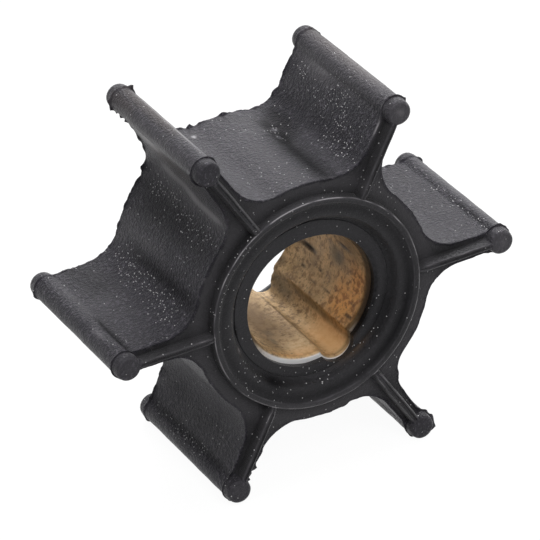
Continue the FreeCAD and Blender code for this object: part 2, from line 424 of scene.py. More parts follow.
def face_height(places):
    """Height of the rubber's end face above the star's plane."""
    height = np.interp(np.hypot(places[:, 0], places[:, 1]), *zip(*RING_PROFILE))
    for vane in range(VANES):
        local = turned(places, -60 * vane)
        on_rib = (local[:, 0] > RIB_START) & (local[:, 0] < TIP_CIRCLE_RADIUS)
        rib = np.interp(np.abs(local[:, 1]), *zip(*RIB_PROFILE))
        rib *= np.interp(local[:, 0], *zip(*RIB_RAMP))
        height = np.maximum(height, np.where(on_rib, rib, FAR_BELOW))
        from_bead = np.hypot(local[:, 0] - TIP_CIRCLE_RADIUS, local[:, 1])
        disc = np.interp(from_bead, *zip(*DISC_PROFILE))
        on_disc = from_bead < DISC_REACH
        height = np.maximum(height, np.where(on_disc, disc, FAR_BELOW))
    return height


def lip_outline(angles, end):
    """Opening in the rubber lip, with the notch round the key groove."""
    opening = FRONT_LIP if end == FRONT else BACK_LIP
    notch_angle, notch_radius = FRONT_NOTCH if end == FRONT else BACK_NOTCH
    lip = np.interp(np.degrees(angles), *zip(*opening))
    from_key = angles - math.radians(notch_angle)
    half_chord = notch_radius**2 - (KEY_CENTRE_RADIUS * np.sin(from_key)) ** 2
    notch = np.where(
        (half_chord > 0) & (np.cos(from_key) > 0),
        KEY_CENTRE_RADIUS * np.cos(from_key) + np.sqrt(np.maximum(half_chord, 0)),
        0,
    )
    return spokes(angles) * np.maximum(lip, notch)[:, None]


def flute_outline(angles):
    """Section of the insert's outside, which the rubber fits."""
    pitch = 2 * math.pi / FLUTES
    from_flute = (angles - math.radians(KEY_ANGLE)) % pitch - pitch / 2
    sideways = INSERT_RADIUS * np.sin(from_flute)
    bite = np.sqrt(np.maximum(FLUTE_RADIUS**2 - sideways**2, 0))
    radius = INSERT_RADIUS * np.where(bite > 0, np.cos(from_flute), 1) - bite
    return spokes(angles) * radius[:, None]


def ring_points(centre, radius, step):
    count = max(12, round(2 * math.pi * radius / step))
    return centre + radius * spokes(np.arange(count) * 2 * math.pi / count)


def inside(points, loop):
    """Which points lie inside a closed outline?"""
    x, y = points[:, 0][:, None], points[:, 1][:, None]
    ax, ay = loop[:, 0][None, :], loop[:, 1][None, :]
    bx, by = np.roll(ax, -1, 1), np.roll(ay, -1, 1)
    crosses = (ay > y) != (by > y)
    with np.errstate(divide="ignore", invalid="ignore"):
        left = x < ax + (y - ay) * (bx - ax) / (by - ay)
    return (crosses & left).sum(axis=1) % 2 == 1


def gap_to(points, loop):
    """Distance from each point to a closed outline."""
    start = loop[None]
    run = np.roll(loop, -1, 0)[None] - start
    from_start = points[:, None] - start
    share = np.clip((from_start * run).sum(-1) / (run**2).sum(-1), 0, 1)
    return np.linalg.norm(from_start - share[..., None] * run, axis=-1).min(axis=1)


def side_of(start, end, point):
    run, offset = end - start, point - start
    return run[..., 0] * offset[..., 1] - run[..., 1] * offset[..., 0] > 0


def crossing(line, loop):
    """Which links of an open line cross a closed outline?"""
    here, there = line[:-1, None], line[1:, None]
    start, end = loop[None], np.roll(loop, -1, 0)[None]
    apart = side_of(start, end, here) != side_of(start, end, there)
    return (apart & (side_of(here, there, start) != side_of(here, there, end))).any(axis=1)


def closed(points):
    return np.vstack((points, points[:1]))


def fill_points(outline, lip, step):
    """Loose hexagonal grid over an end face, clear of every line that shapes it."""
    reach = TIP_CIRCLE_RADIUS + BEAD_RADIUS
    rows = np.arange(-reach, reach, step * math.sqrt(3) / 2)
    grid = []
    for index, up in enumerate(rows):
        across = np.arange(-reach, reach, step) + (index % 2) * step / 2
        grid.append(np.column_stack((across, np.full(len(across), up))))
    grid = np.vstack(grid)
    jitter = np.array([noise.noise_vector((x, 5.0, z))[:2] for x, z in grid * JITTER_RATE])
    grid = grid + JITTER_SHARE * step * jitter
    radius = np.hypot(grid[:, 0], grid[:, 1])
    keep = (radius > LIP_RADIUS) & inside(grid, outline) & ~inside(grid, lip)
    clear = CLEAR_SHARE * step
    for ring, _ in RING_PROFILE[1:-1]:
        keep &= np.abs(radius - ring) > clear
    for vane in range(VANES):
        local = turned(grid, -60 * vane)
        on_rib = (local[:, 0] > RIB_CLEAR_START) & (local[:, 0] < TIP_CIRCLE_RADIUS)
        for offset, _ in RIB_PROFILE[1:]:
            keep &= ~(on_rib & (np.abs(np.abs(local[:, 1]) - offset) < clear))
        from_bead = np.hypot(local[:, 0] - TIP_CIRCLE_RADIUS, local[:, 1])
        for rim, _ in DISC_PROFILE[1:]:
            keep &= np.abs(from_bead - rim) > clear
    grid = grid[keep]
    edges = np.vstack((outline, lip))
    nearest = np.array([np.hypot(*(edges - point).T).min() for point in grid])
    return grid[nearest > clear]


def end_face(outline, lip, step):
    """Triangles of one end face between the star's outline and the lip's opening.

    The first places are the outline's, then the lip's, so that the sheets beside them
    share their points.
    """
    bead = np.array([TIP_CIRCLE_RADIUS, 0.0])
    lines = [
        closed(ring_points(np.zeros(2), ring, step * RING_SHARE))
        for ring, _ in RING_PROFILE[1:-1]
    ]
    for vane in range(VANES):
        for rim, _ in DISC_PROFILE[1:]:
            circle = closed(ring_points(bead, rim, step * RIM_SHARE))
            lines.append(turned(circle, 60 * vane))
        run = np.arange(RIB_LINE_START, TIP_CIRCLE_RADIUS - RIB_LINE_STOP, step)
        for offset, _ in RIB_PROFILE[1:]:
            for side in (-1, 1):
                strand = np.column_stack((run, np.full(len(run), side * offset)))
                lines.append(turned(strand, 60 * vane))
    points, edges = [], []
    count = 0
    for loop in (outline, lip):
        size = len(loop)
        edges += [(count + index, count + (index + 1) % size) for index in range(size)]
        points.append(loop)
        count += size
    # A line that met a border would split its edges and leave the sheets unjoined there.
    for line in lines:
        free = inside(line, outline) & ~inside(line, lip)
        free &= np.minimum(gap_to(line, outline), gap_to(line, lip)) > BORDER_GAP
        linked = free[:-1] & free[1:] & ~crossing(line, outline) & ~crossing(line, lip)
        numbers = (count + np.cumsum(free) - 1).tolist()
        edges += [(numbers[index], numbers[index + 1]) for index in np.flatnonzero(linked)]
        points.append(line[free])
        count += int(free.sum())
    points.append(fill_points(outline, lip, step))
    flat = np.vstack(points)
    result = delaunay_2d_cdt([Vector(point) for point in flat], edges, [], 0, 1e-6)
    places = np.array([tuple(point) for point in result[0]])
    triangles = np.array(result[2])
    middles = places[triangles].mean(axis=1)
    triangles = triangles[inside(middles, outline) & ~inside(middles, lip)]
    shared = np.full(len(places), -1)
    border = len(outline) + len(lip)
    for index, origins in enumerate(result[3]):
        for origin in origins:
            if origin < border:
                shared[index] = origin
    return places, triangles, shared


# Unevenness of an end face, sideways and in height
FACE_DRIFT = 0.04
FACE_RIPPLE = 0.012


def face_points(places, end):
    """The end face's places in space, with the unevenness of a moulding."""
    height = face_height(places)
    points = np.empty((len(places), 3))
    for index, (x, z) in enumerate(places):
        drift = noise.noise_vector((x * 0.5, 11.0 * end, z * 0.5))
        ripple = noise.noise((x * 1.4, 17.0 * end, z * 1.4))
        points[index] = (
            x + FACE_DRIFT * drift[0],
            end * (STAR_HALF + height[index] + FACE_RIPPLE * ripple),
            z + FACE_DRIFT * drift[1],
        )
    return points


class Shell:
    """Points and faces of one closed mesh, gathered sheet by sheet."""

    def __init__(self):
        self.points = []
        self.faces = []
        self.count = 0

    def add_points(self, points):
        """Adds an array of points and returns their numbers, in the array's own form."""
        flat = points.reshape(-1, 3)
        numbers = np.arange(self.count, self.count + len(flat))
        self.points.append(flat)
        self.count += len(flat)
        return numbers.reshape(points.shape[:-1])

    def add_tube(self, numbers):
        """Quads over closed columns (first index) and open rows (second index)."""
        here, there = numbers, np.roll(numbers, -1, axis=0)
        quads = np.stack((here[:, :-1], there[:, :-1], there[:, 1:], here[:, 1:]), axis=-1)
        self.faces += quads.reshape(-1, 4).tolist()

    def add_triangles(self, triangles):
        self.faces += triangles.tolist()

    def object(self, name):
        mesh = bpy.data.meshes.new(name)
        mesh.from_pydata((np.vstack(self.points) * MM).tolist(), [], self.faces)
        work = bmesh.new()
        work.from_mesh(mesh)
        bmesh.ops.recalc_face_normals(work, faces=work.faces)
        work.to_mesh(mesh)
        work.free()
        mesh.shade_smooth()
        mesh.set_sharp_from_angle(angle=math.radians(SHARP_TURN))
        piece = bpy.data.objects.new(name, mesh)
        bpy.context.collection.objects.link(piece)
        return piece


def rubber_shell():
    """The rubber moulding: side sheet, end faces, lips and the insert's seat."""
    shell = Shell()
    star = star_outline(COLUMN_STEP)
    sheet = side_sheet(star)
    sheet_numbers = shell.add_points(sheet)
    shell.add_tube(sheet_numbers)
    angles = np.arange(LIP_COLUMNS) * 2 * math.pi / LIP_COLUMNS
    seat = flute_outline(angles)
    cavity = []
    for end, step in ((FRONT, FILL_STEP), (BACK, FILL_STEP * BACK_SHARE)):
        row = 0 if end == FRONT else -1
        outline = sheet[:, row, [0, 2]]
        lip = lip_outline(angles, end)
        places, triangles, shared = end_face(outline, lip, step)
        points = face_points(places, end)
        mouth_numbers = shell.add_points(at_level(lip, end * (STAR_HALF - DISH_FLOOR)))
        known = np.concatenate((sheet_numbers[:, row], mouth_numbers))
        numbers = np.where(shared >= 0, known[shared], -1)
        own = shell.add_points(points[numbers < 0])
        numbers[numbers < 0] = own
        shell.add_triangles(numbers[triangles])
        lip_foot = shell.add_points(at_level(lip, end * INSERT_HALF))
        seat_rim = shell.add_points(at_level(seat, end * INSERT_HALF))
        cavity.append([mouth_numbers, lip_foot, seat_rim])
    front, back = cavity
    shell.add_tube(np.column_stack(front + back[::-1]))
    return shell, star, sheet


def bore_outline():
    """Section of the bore and its key groove, with directions into the opening."""
    reach = KEY_CENTRE_RADIUS
    meeting = math.acos(
        (BORE_RADIUS**2 + reach**2 - KEY_RADIUS**2) / (2 * BORE_RADIUS * reach)
    )
    key = math.radians(KEY_ANGLE)
    wall, rays = arc(
        np.zeros(2), BORE_RADIUS, key + meeting, key - meeting + 2 * math.pi, BORE_STEP
    )
    centre = reach * spokes(np.array([key]))[0]
    mouth = BORE_RADIUS * spokes(np.array([key - meeting, key + meeting]))
    start = bearing(mouth[0] - centre)
    end = bearing(mouth[1] - centre)
    if end < start:
        end += 2 * math.pi
    groove, groove_rays = arc(centre, KEY_RADIUS, start, end, BORE_STEP)
    places = np.vstack((wall, groove))
    directions = -np.vstack((rays, groove_rays))
    for _ in range(2):
        places = (np.roll(places, 1, 0) + 2 * places + np.roll(places, -1, 0)) / 4
        directions = (np.roll(directions, 1, 0) + 2 * directions + np.roll(directions, -1, 0)) / 4
    return places, directions / np.linalg.norm(directions, axis=1)[:, None]


# Marks in the bore: (angle, y, half its angle, half its length, lean, height)
BORE_MARKS = [
    (340, 4.2, 1.4, 1.5, 0.3, -0.2),
    (337.4, 4.4, 0.8, 1.3, 0.3, 0.05),
    (9, -2.9, 1.5, 1.3, 0.3, -0.1),
    (350, 2.2, 0.8, 1.5, 0.5, -0.05),
    (249, -3.6, 1.2, 0.6, 0, -0.04),
    (323, 3.8, 0.9, 0.4, 0, -0.05),
    (330, 1, 1, 0.3, 0, -0.05),
    (318, 1.2, 0.6, 0.5, 0, -0.05),
    (320, -1.2, 0.6, 0.8, 0, -0.04),
    (232, -4.9, 1.4, 0.5, 0, -0.04),
]
# Burrs that narrow the back of the bore: (angle, half its angle, y where it starts, height)
BORE_BURRS = [(299.5, 5.5, 3, 0.58), (322, 24, 5.2, 0.45), (348, 16, 5.5, 0.2)]
# Unevenness of the bore: (height, waves per millimetre across, and along the axis)
BORE_WAVES = [(0.02, 0.5, 0.25), (0.008, 2.5, 0.7)]


def insert_rows():
    bevel = np.array([0.0, 0.06, 0.13, 0.2, BORE_BEVEL, 0.34])
    inner = INSERT_HALF - bevel[-1]
    middle = np.linspace(-inner, inner, round(2 * inner / BORE_ROW_STEP) + 1)[1:-1]
    return np.concatenate((-INSERT_HALF + bevel, middle, (INSERT_HALF - bevel)[::-1]))


def insert_shell():
    """The bronze insert: worn bore and key groove, end faces and fluted outside."""
    shell = Shell()
    places, directions = bore_outline()
    rows = insert_rows()
    angles = np.unwrap(np.arctan2(places[:, 1], places[:, 0]))
    degrees = np.degrees(angles) % 360
    height = np.zeros((len(places), len(rows)))
    for column, (x, z) in enumerate(places):
        for row, y in enumerate(rows):
            height[column, row] = sum(
                rise * noise.noise((x * across, y * along, z * across))
                for rise, across, along in BORE_WAVES
            )
    for angle, depth, half_angle, half_length, lean, bump in BORE_MARKS:
        along = (rows - depth) / half_length
        across = (degrees[:, None] - angle - lean * along[None, :]) / half_angle
        height += bump * np.exp(-(across**2) - np.abs(along[None, :]) ** 3)
    for angle, half_angle, start, bump in BORE_BURRS:
        across = (degrees[:, None] - angle) / half_angle
        rise = np.clip((rows[None, :] - start) / (INSERT_HALF - start), 0, 1)
        height += bump * np.exp(-(across**4)) * rise**2
    bevel = np.clip(BORE_BEVEL - (INSERT_HALF - np.abs(rows)), 0, None)
    height -= bevel[None, :]
    bore_numbers = shell.add_points(raised(places, directions, height, rows[None, :]))
    outside = flute_outline(np.maximum.accumulate(angles))
    front = shell.add_points(at_level(outside, FRONT * INSERT_HALF))
    back = shell.add_points(at_level(outside, BACK * INSERT_HALF))
    shell.add_tube(np.column_stack((back, front, bore_numbers, back)))
    return shell


class Nodes:
    """Short hand for building the node tree of a material or world."""

    def __init__(self, owner):
        owner.use_nodes = True
        self.owner = owner
        self.tree = owner.node_tree
        self.shader = self.tree.nodes.get("Principled BSDF")

    def add(self, kind, settings=None, **inputs):
        node = self.tree.nodes.new("ShaderNode" + kind)
        for key, value in (settings or {}).items():
            setattr(node, key, value)
        self.supply(node, **inputs)
        return node

    def supply(self, node, **inputs):
        """Feeds inputs by name, with an underscore for each space."""
        for key, value in inputs.items():
            self.feed(node.inputs[key.replace("_", " ")], value)

    def feed(self, socket, value):
        if isinstance(value, bpy.types.NodeSocket):
            self.tree.links.new(value, socket)
        else:
            socket.default_value = value

    def math(self, operation, first, second=0.0, third=0.0, clamp=False):
        node = self.add("Math", {"operation": operation, "use_clamp": clamp})
        for socket, value in zip(node.inputs, (first, second, third)):
            self.feed(socket, value)
        return node.outputs[0]

    def ramp(self, value, low, high, start=0.0, stop=1.0, kind="SMOOTHSTEP"):
        """Value from low..high carried to start..stop, smoothly unless kind is LINEAR."""
        node = self.add(
            "MapRange",
            {"interpolation_type": kind},
            Value=value,
            From_Min=low,
            From_Max=high,
            To_Min=start,
            To_Max=stop,
        )
        return node.outputs["Result"]

    def mix(self, factor, first, second, blend="MIX"):
        node = self.add("Mix", {"data_type": "RGBA", "blend_type": blend})
        self.feed(node.inputs["Factor"], factor)
        self.feed(node.inputs[6], (*first, 1) if isinstance(first, tuple) else first)
        self.feed(node.inputs[7], (*second, 1) if isinstance(second, tuple) else second)
        return node.outputs[2]

    def millimetres(self, stretch=(1, 1, 1), shift=0.0):
        """Place on the object, in millimetres."""
        place = self.add("TexCoord").outputs["Object"]
        scale = [share / MM for share in stretch]
        node = self.add("Mapping", Vector=place, Scale=scale, Location=[shift] * 3)
        return node.outputs["Vector"]

    def noise(self, place, size, detail=2.0, roughness=0.5):
        """Noise with features of about this size in millimetres."""
        settings = {"Scale": 1 / size, "Detail": detail, "Roughness": roughness}
        return self.add("TexNoise", Vector=place, **settings).outputs["Fac"]

    def specks(self, place, pitch, radius, density):
        """Round specks of one radius, in a share of the cells given by density."""
        node = self.add("TexVoronoi", {"feature": "F1"}, Vector=place, Scale=1 / pitch)
        dot = self.ramp(node.outputs["Distance"], radius / pitch, 0.55 * radius / pitch)
        dice = self.add("SeparateColor", Color=node.outputs["Color"]).outputs[0]
        return self.math("MULTIPLY", dot, self.math("LESS_THAN", dice, density))

    def attribute(self, name):
        return self.add("Attribute", {"attribute_name": name}).outputs["Fac"]


# Colours of the rubber: its face and side from dark to pale, then what lies over them
FACE_RUBBER = ((0.019, 0.0187, 0.0197), (0.027, 0.0265, 0.028))
SIDE_RUBBER = ((0.016, 0.0145, 0.02), (0.025, 0.0235, 0.03))
# Painted glints on the grain's peaks, stronger on the side sheet
GRAIN_GLINTS = (0.092, 0.084, 0.102)
# Painted highlights with worn edges, then painted glints, then painted shade with one dark stain
LIT_AND_WORN_RUBBER = (0.12, 0.114, 0.124)
GLINTING_AND_WORN_RUBBER = (0.4, 0.385, 0.4)
SHADED_AND_STAINED_RUBBER = (0.002, 0.002, 0.0025)
BROWN_RUBBER = (0.075, 0.045, 0.022)
DUST_COLOUR = (0.72, 0.71, 0.72)
# Fine dust: (shift of the pattern, pitch, radius)
FINE_DUST = [(0.0, 0.3, 0.07), (7.3, 0.38, 0.075)]


def rubber_material():
    nodes = Nodes(bpy.data.materials.new("moulded_rubber"))
    place = nodes.millimetres()
    on_side = nodes.attribute("side")
    cloud = nodes.noise(place, 3.5, 3.0)
    grain = nodes.noise(place, 0.32, 3.0, 0.65)
    fine_grain = nodes.noise(place, 0.12, 2.0)
    # Painted light and shade, with worn edges and a stain: above a half it lightens the rubber,
    # below a half it darkens it
    light_shade_wear_and_stain = nodes.attribute("light_shade_wear_and_stain")
    cloudy = nodes.ramp(cloud, 0.3, 0.7)
    face = nodes.mix(cloudy, *FACE_RUBBER)
    side = nodes.mix(cloudy, *SIDE_RUBBER)
    colour = nodes.mix(on_side, face, side)
    # Painted glints on the grain's peaks, stronger on the side sheet
    speckle = nodes.ramp(grain, 0.54, 0.66)
    grain_glints = nodes.math("MULTIPLY", speckle, nodes.ramp(on_side, 0, 1, 0.15, 0.9))
    colour = nodes.mix(grain_glints, colour, GRAIN_GLINTS)
    lit_and_worn = nodes.math("MULTIPLY_ADD", light_shade_wear_and_stain, 2.0, third=-1.0, clamp=True)
    shaded_and_stained = nodes.math("MULTIPLY_ADD", light_shade_wear_and_stain, -2.0, third=1.0, clamp=True)
    colour = nodes.mix(lit_and_worn, colour, LIT_AND_WORN_RUBBER)
    colour = nodes.mix(nodes.ramp(light_shade_wear_and_stain, 0.75, 1.0), colour, GLINTING_AND_WORN_RUBBER)
    colour = nodes.mix(nodes.math("MULTIPLY", shaded_and_stained, 0.9), colour, SHADED_AND_STAINED_RUBBER)
    brown = nodes.attribute("brown")
    colour = nodes.mix(nodes.math("MULTIPLY", brown, 0.8), colour, BROWN_RUBBER)
    dust = nodes.attribute("dust")
    specks = nodes.specks(place, 1.1, 0.11, nodes.math("MULTIPLY", dust, 0.6))
    for shift, pitch, radius in FINE_DUST:
        more = nodes.specks(nodes.millimetres((1, 0.8, 1), shift), pitch, radius, dust)
        specks = nodes.math("MAXIMUM", specks, more)
    colour = nodes.mix(nodes.math("MULTIPLY", specks, 0.9), colour, DUST_COLOUR)
    height = nodes.math("MULTIPLY", grain, nodes.ramp(on_side, 0, 1, 0.3, 1.0))
    height = nodes.math("ADD", height, nodes.math("MULTIPLY", fine_grain, 0.35))
    height = nodes.math("ADD", height, nodes.math("MULTIPLY", specks, 0.3))
    bump = nodes.add("Bump", Height=height, Distance=0.2 * MM, Strength=1.0)
    nodes.supply(
        nodes.shader,
        Base_Color=colour,
        Roughness=nodes.ramp(cloud, 0.3, 0.7, 0.34, 0.44),
        Specular_IOR_Level=nodes.math("MULTIPLY_ADD", shaded_and_stained, -0.16, third=0.22),
        Specular_Tint=(0.95, 0.93, 1.0, 1.0),
        Sheen_Weight=nodes.math("MULTIPLY_ADD", shaded_and_stained, -0.15, third=0.15),
        Sheen_Roughness=0.35,
        Normal=bump.outputs["Normal"],
    )
    return nodes.owner


# Colours of the bronze: the metal, its marks, then the layers that paint_insert paints
BRONZE = ((0.47, 0.31, 0.145), (0.74, 0.53, 0.29))
BLOTS = (0.2, 0.115, 0.05)
DARK_GRAIN = (0.16, 0.095, 0.045)
PALE_GRAIN = (0.72, 0.57, 0.38)
STREAKS = (0.13, 0.085, 0.045)
PITS = (0.09, 0.05, 0.028)
AMBER = ((0.9, 0.46, 0.14), (0.42, 0.17, 0.045))
# Painted light where light pools in the key groove and on the bore's lower front and right
LIT_CREAM = ((0.98, 0.74, 0.44), (0.85, 0.55, 0.27))
# Painted light in the key groove's front and along the lower front edge, over the groove's own
# orange
LIT_OCHRE = (0.98, 0.6, 0.27)
# Painted shade on the lower left of the bore, and a dark stain along the front edge on its right
UMBER_SHADE_AND_STAIN = (0.12, 0.07, 0.028)
GREY = (0.13, 0.115, 0.08)
DARK = (0.03, 0.019, 0.012)
# Painted glint on the worn front edge of the insert
WORN_EDGE_GLINT = (0.85, 0.84, 0.84)


def bronze_material():
    nodes = Nodes(bpy.data.materials.new("worn_bronze"))
    place = nodes.millimetres()
    cloud = nodes.noise(place, 2.0, 4.0, 0.6)
    streaks = nodes.noise(nodes.millimetres((1, 0.25, 1)), 0.5, 4.0, 0.65)
    blots = nodes.noise(place, 0.55, 3.0, 0.6)
    grain = nodes.noise(place, 0.18, 4.0, 0.7)
    colour = nodes.mix(nodes.ramp(cloud, 0.35, 0.65), *BRONZE)
    for source, low, high, share, tint in (
        (blots, 0.46, 0.64, 0.8, BLOTS),
        (grain, 0.52, 0.66, 0.6, DARK_GRAIN),
        (grain, 0.46, 0.32, 0.6, PALE_GRAIN),
        (streaks, 0.56, 0.75, 0.6, STREAKS),
    ):
        colour = nodes.mix(nodes.ramp(source, low, high, 0, share), colour, tint)
    # Layers painted by paint_insert: stains, painted light in cream and ochre, painted shade in
    # most of the umber
    painted = {}
    for name, share, tint in (
        ("amber", 0.85, nodes.mix(nodes.ramp(blots, 0.4, 0.62), *AMBER)),
        ("lit_cream", 0.85, nodes.mix(nodes.ramp(blots, 0.4, 0.65), *LIT_CREAM)),
        ("lit_ochre", 0.8, LIT_OCHRE),
        ("umber_shade_and_stain", 0.9, UMBER_SHADE_AND_STAIN),
        ("grey", 0.8, GREY),
    ):
        painted[name] = nodes.math("MULTIPLY", nodes.attribute(name), share)
        colour = nodes.mix(painted[name], colour, tint)
    pits = nodes.specks(place, 0.75, 0.15, 0.7)
    pitted = nodes.math("MULTIPLY_ADD", nodes.attribute("lit_cream"), -0.6, third=0.65)
    colour = nodes.mix(nodes.math("MULTIPLY", pits, pitted), colour, PITS)
    colour = nodes.mix(nodes.attribute("dark"), colour, DARK)
    # Painted glint on the worn front edge
    colour = nodes.mix(nodes.attribute("worn_edge_glint"), colour, WORN_EDGE_GLINT)
    height = nodes.math("MULTIPLY", streaks, 0.5)
    height = nodes.math("ADD", height, nodes.math("MULTIPLY", grain, 0.5))
    bump = nodes.add("Bump", Height=height, Distance=0.1 * MM, Strength=0.9)
    nodes.supply(
        nodes.shader,
        Base_Color=colour,
        Metallic=0.25,
        Roughness=nodes.ramp(cloud, 0.3, 0.7, 0.45, 0.6),
        # Less specular in the painted shade
        Specular_IOR_Level=nodes.math("MULTIPLY_ADD", painted["umber_shade_and_stain"], -0.45, third=0.5),
        Normal=bump.outputs["Normal"],
    )
    return nodes.owner


# Where dust has caught: (sector, sweep, y, half sweep, half y, amount)
DUST = [
    (1, 4.6, -1.6, 1.4, 2.6, 0.9),
    (1, 4.3, 5.8, 0.7, 1.2, 1),
    (1, 5.8, -4.4, 1, 1.7, 0.6),
    (1, 5.2, 1.7, 1.2, 2, 0.35),
    (1, 8.1, -4.6, 0.8, 3.2, 0.9),
    (1, 14, 4.8, 1, 1, 0.4),
    (1, 10.8, 3, 0.6, 1.2, 1),
    (1, 15, -4.5, 2, 3, 0.15),
    (2, 10.3, 3, 0.9, 3.2, 0.8),
    (2, 11, -3.6, 0.9, 3.4, 1),
    (2, 18.4, 5.2, 0.9, 2, 1),
    (2, 18.9, -1, 1, 5, 0.9),
    (2, 20, -6, 0.7, 2, 0.5),
    (0, 2.5, -3, 0.5, 5, 0.7),
    (0, 5, 5, 1.5, 2.5, 0.3),
    (3, 25.2, 1, 0.6, 5, 0.7),
    (4, 2.7, 1, 0.6, 5, 0.3),
]
# Painted highlights and painted shade on the side sheet: (sector, sweep, y, half sweep, half y,
# amount)
SIDE_LIGHT_AND_SHADE = [
    (1, 2.8, 1, 0.7, 7, 0.2),
    (1, 3.6, 3.8, 0.8, 3.2, 0.2),
    (1, 4.2, -8.5, 1.6, 0.16, 0.4),
    (1, 7.5, 0, 0.8, 9, -0.15),
    (1, 9.4, 4.5, 0.9, 3.4, -0.35),
    (1, 11.3, -3.8, 1.2, 5.5, -0.5),
    (1, 10.9, 3.2, 0.9, 3, -0.45),
    (1, 10.8, 3.2, 0.22, 0.5, 0.75),
    (1, 11.1, 1.7, 0.18, 0.5, 0.7),
    (1, 14.5, 0, 2.8, 9, 0.08),
    (1, 17.9, 6.4, 0.35, 0.4, 0.5),
    (1, 0.8, 0, 1.2, 9, 0.25),
    (1, 26.5, 0, 0.22, 9, 0.45),
    (0, 27.8, 0, 0.3, 9, 0.3),
    (1, 0.1, 0, 0.35, 9, 0.15),
    (2, 0.3, 0, 0.9, 9, 0.15),
    (2, 3.4, 0, 0.7, 8, 0.25),
    (2, 4.6, 3, 1.3, 4, 0.3),
    (2, 5.8, 6, 1.6, 3.5, 0.3),
    (2, 8.8, -4.8, 0.8, 4, 0.43),
    (2, 8.2, 2, 0.9, 4, 0.39),
    (2, 1.5, 1.5, 0.6, 8, 0.3),
    (2, 12, 0, 2, 9, -0.3),
    (2, 15.6, 3.5, 0.9, 4, 0.1),
    (2, 17.2, -2, 0.9, 7, -0.35),
    (2, 22.5, 6, 2, 4, -0.3),
    (2, 25.1, -5, 0.3, 4, -0.45),
    (2, 26.3, -4, 0.3, 1, 0.3),
    (3, 18.5, -2, 0.8, 7, 0.25),
    (3, 24.8, 0, 0.4, 9, -0.3),
    (4, 25.5, -4, 0.5, 6, 0.4),
    (0, 1.4, 0, 0.5, 9, 0.25),
    (3, 22.5, 0, 2.5, 9, -0.15),
    (3, 21.2, -4, 0.5, 0.25, 0.2),
    (0, 2.5, -5, 0.3, 4, -0.3),
    (0, 26, 0, 2, 9, 0.1),
]
# The same on the front face: (angle, radius, half its angle, half its radius, amount)
FRONT_DUST = [
    (57, 12.6, 5, 0.8, 0.9),
    (58.5, 15.5, 1, 2.5, 0.6),
    (119, 11.9, 3, 0.5, 0.8),
    (150, 10.8, 40, 0.5, 0.3),
    (195, 8.9, 45, 0.5, 0.25),
    (230, 9.3, 30, 0.6, 0.25),
    (250, 7.7, 35, 0.4, 0.25),
    (60, 11.6, 60, 0.5, 0.06),
    (300, 8.5, 30, 0.4, 0.15),
]
# Painted highlights on the ring's edges, lighter discs, painted shade in the dish and below the
# crest, and a dark stain on the lip's wall
FRONT_LIGHT_SHADE_AND_STAIN = [
    (268, 10.74, 40, 0.2, 0.22),
    (90, 10.9, 30, 0.2, 0.15),
    (335, 6.95, 50, 0.25, -0.5),
    (60, 20, 4, 1.3, 0.33),
    (0, 20, 4, 1.3, 0.3),
    (180, 20, 4, 1.3, 0.12),
    (240, 20, 4, 1.3, 0.12),
    (0, 12.3, 300, 0.9, 0.12),
    (0, 9.9, 900, 0.5, -0.25),
    (330, 10, 35, 0.5, -0.2),
    (330, 8.3, 35, 0.5, -0.25),
    (185, 8.24, 6, 0.12, -0.5),
    (235, 8.8, 9, 0.45, -0.45),
    (198, 8.66, 1.6, 0.12, 0.9),
]
# Brown tints of the side sheet and the front face, in the same forms
SIDE_BROWN = [
    (1, 0.2, 2, 0.9, 8, 0.3),
    (0, 27.4, 2, 0.6, 8, 0.3),
    (1, 26.8, 3, 0.8, 6, 0.35),
    (2, 0.4, 6.5, 1.2, 2.5, 0.2),
    (2, 2.8, 4, 0.8, 4, 0.5),
    (2, 5.5, 2, 2, 6, 0.35),
    (5, 27.6, 0, 0.8, 8, 0.25),
]
FRONT_BROWN = [(300, 8.3, 12, 0.18, 0.8), (295, 7.1, 14, 0.25, 0.5), (198, 8.66, 2, 0.15, 0.5)]

# Edges worn pale and painted with glinting highlight lines: the amount, then spans of radius on
# the ring and the least height there, and the span of height on ribs and discs. Heights are above
# the star's plane.
EDGE_WEAR_AND_GLINT = 0.45
INNER_RING_EDGE = (10.41, 10.52)
OUTER_RING_EDGE = (10.93, 11.03)
RING_EDGE_HEIGHT = 0.8
RIB_EDGE = (1.05, 1.11)
# Shares of that amount, and the radii that part ring edges and rib from disc
INNER_WEAR_AND_GLINT = 0.6
OUTER_WEAR_AND_GLINT = 1.1
RIB_WEAR_AND_GLINT = 0.6
DISC_WEAR_AND_GLINT = 0.25
RING_CREST = 10.9
DISC_START = 18.6
# Grain and its painted glints on the end faces near the beads: reach inwards, amount, and factor
# at the back
GRAIN_REACH = 1.35
GRAIN_AMOUNT = 0.7
BACK_GRAIN = 1.4


def surface(piece):
    """Every point of a piece in millimetres, and its angle round the axis in degrees."""
    points = np.array([tuple(vertex.co) for vertex in piece.data.vertices]) / MM
    return points, np.degrees(np.arctan2(points[:, 2], points[:, 0])) % 360


def paint(mesh, name, values):
    layer = mesh.attributes.new(name, "FLOAT", "POINT")
    layer.data.foreach_set("value", np.clip(values, 0, 1).astype(np.float32))


def side_spots(star, depth, spots):
    """Sum of soft spots over the side sheet."""
    total = np.zeros(depth.shape)
    for where, middle, y, half_sweep, half_y, amount in spots:
        across = (star["sweep"][:, None] - middle) / half_sweep
        along = (depth - y) / half_y
        spot = np.exp(-(across**2) - along**4)
        total += amount * spot * (star["sector"] == where)[:, None]
    return total


def face_spots(angle, radius, spots):
    """Sum of soft spots over an end face."""
    total = np.zeros(len(angle))
    for middle, distance, half_angle, half_radius, amount in spots:
        around = ((angle - middle + 180) % 360 - 180) / half_angle
        out = (radius - distance) / half_radius
        total += amount * np.exp(-(around**2) - out**2)
    return total


def between(values, span):
    return (values > span[0]) & (values < span[1])


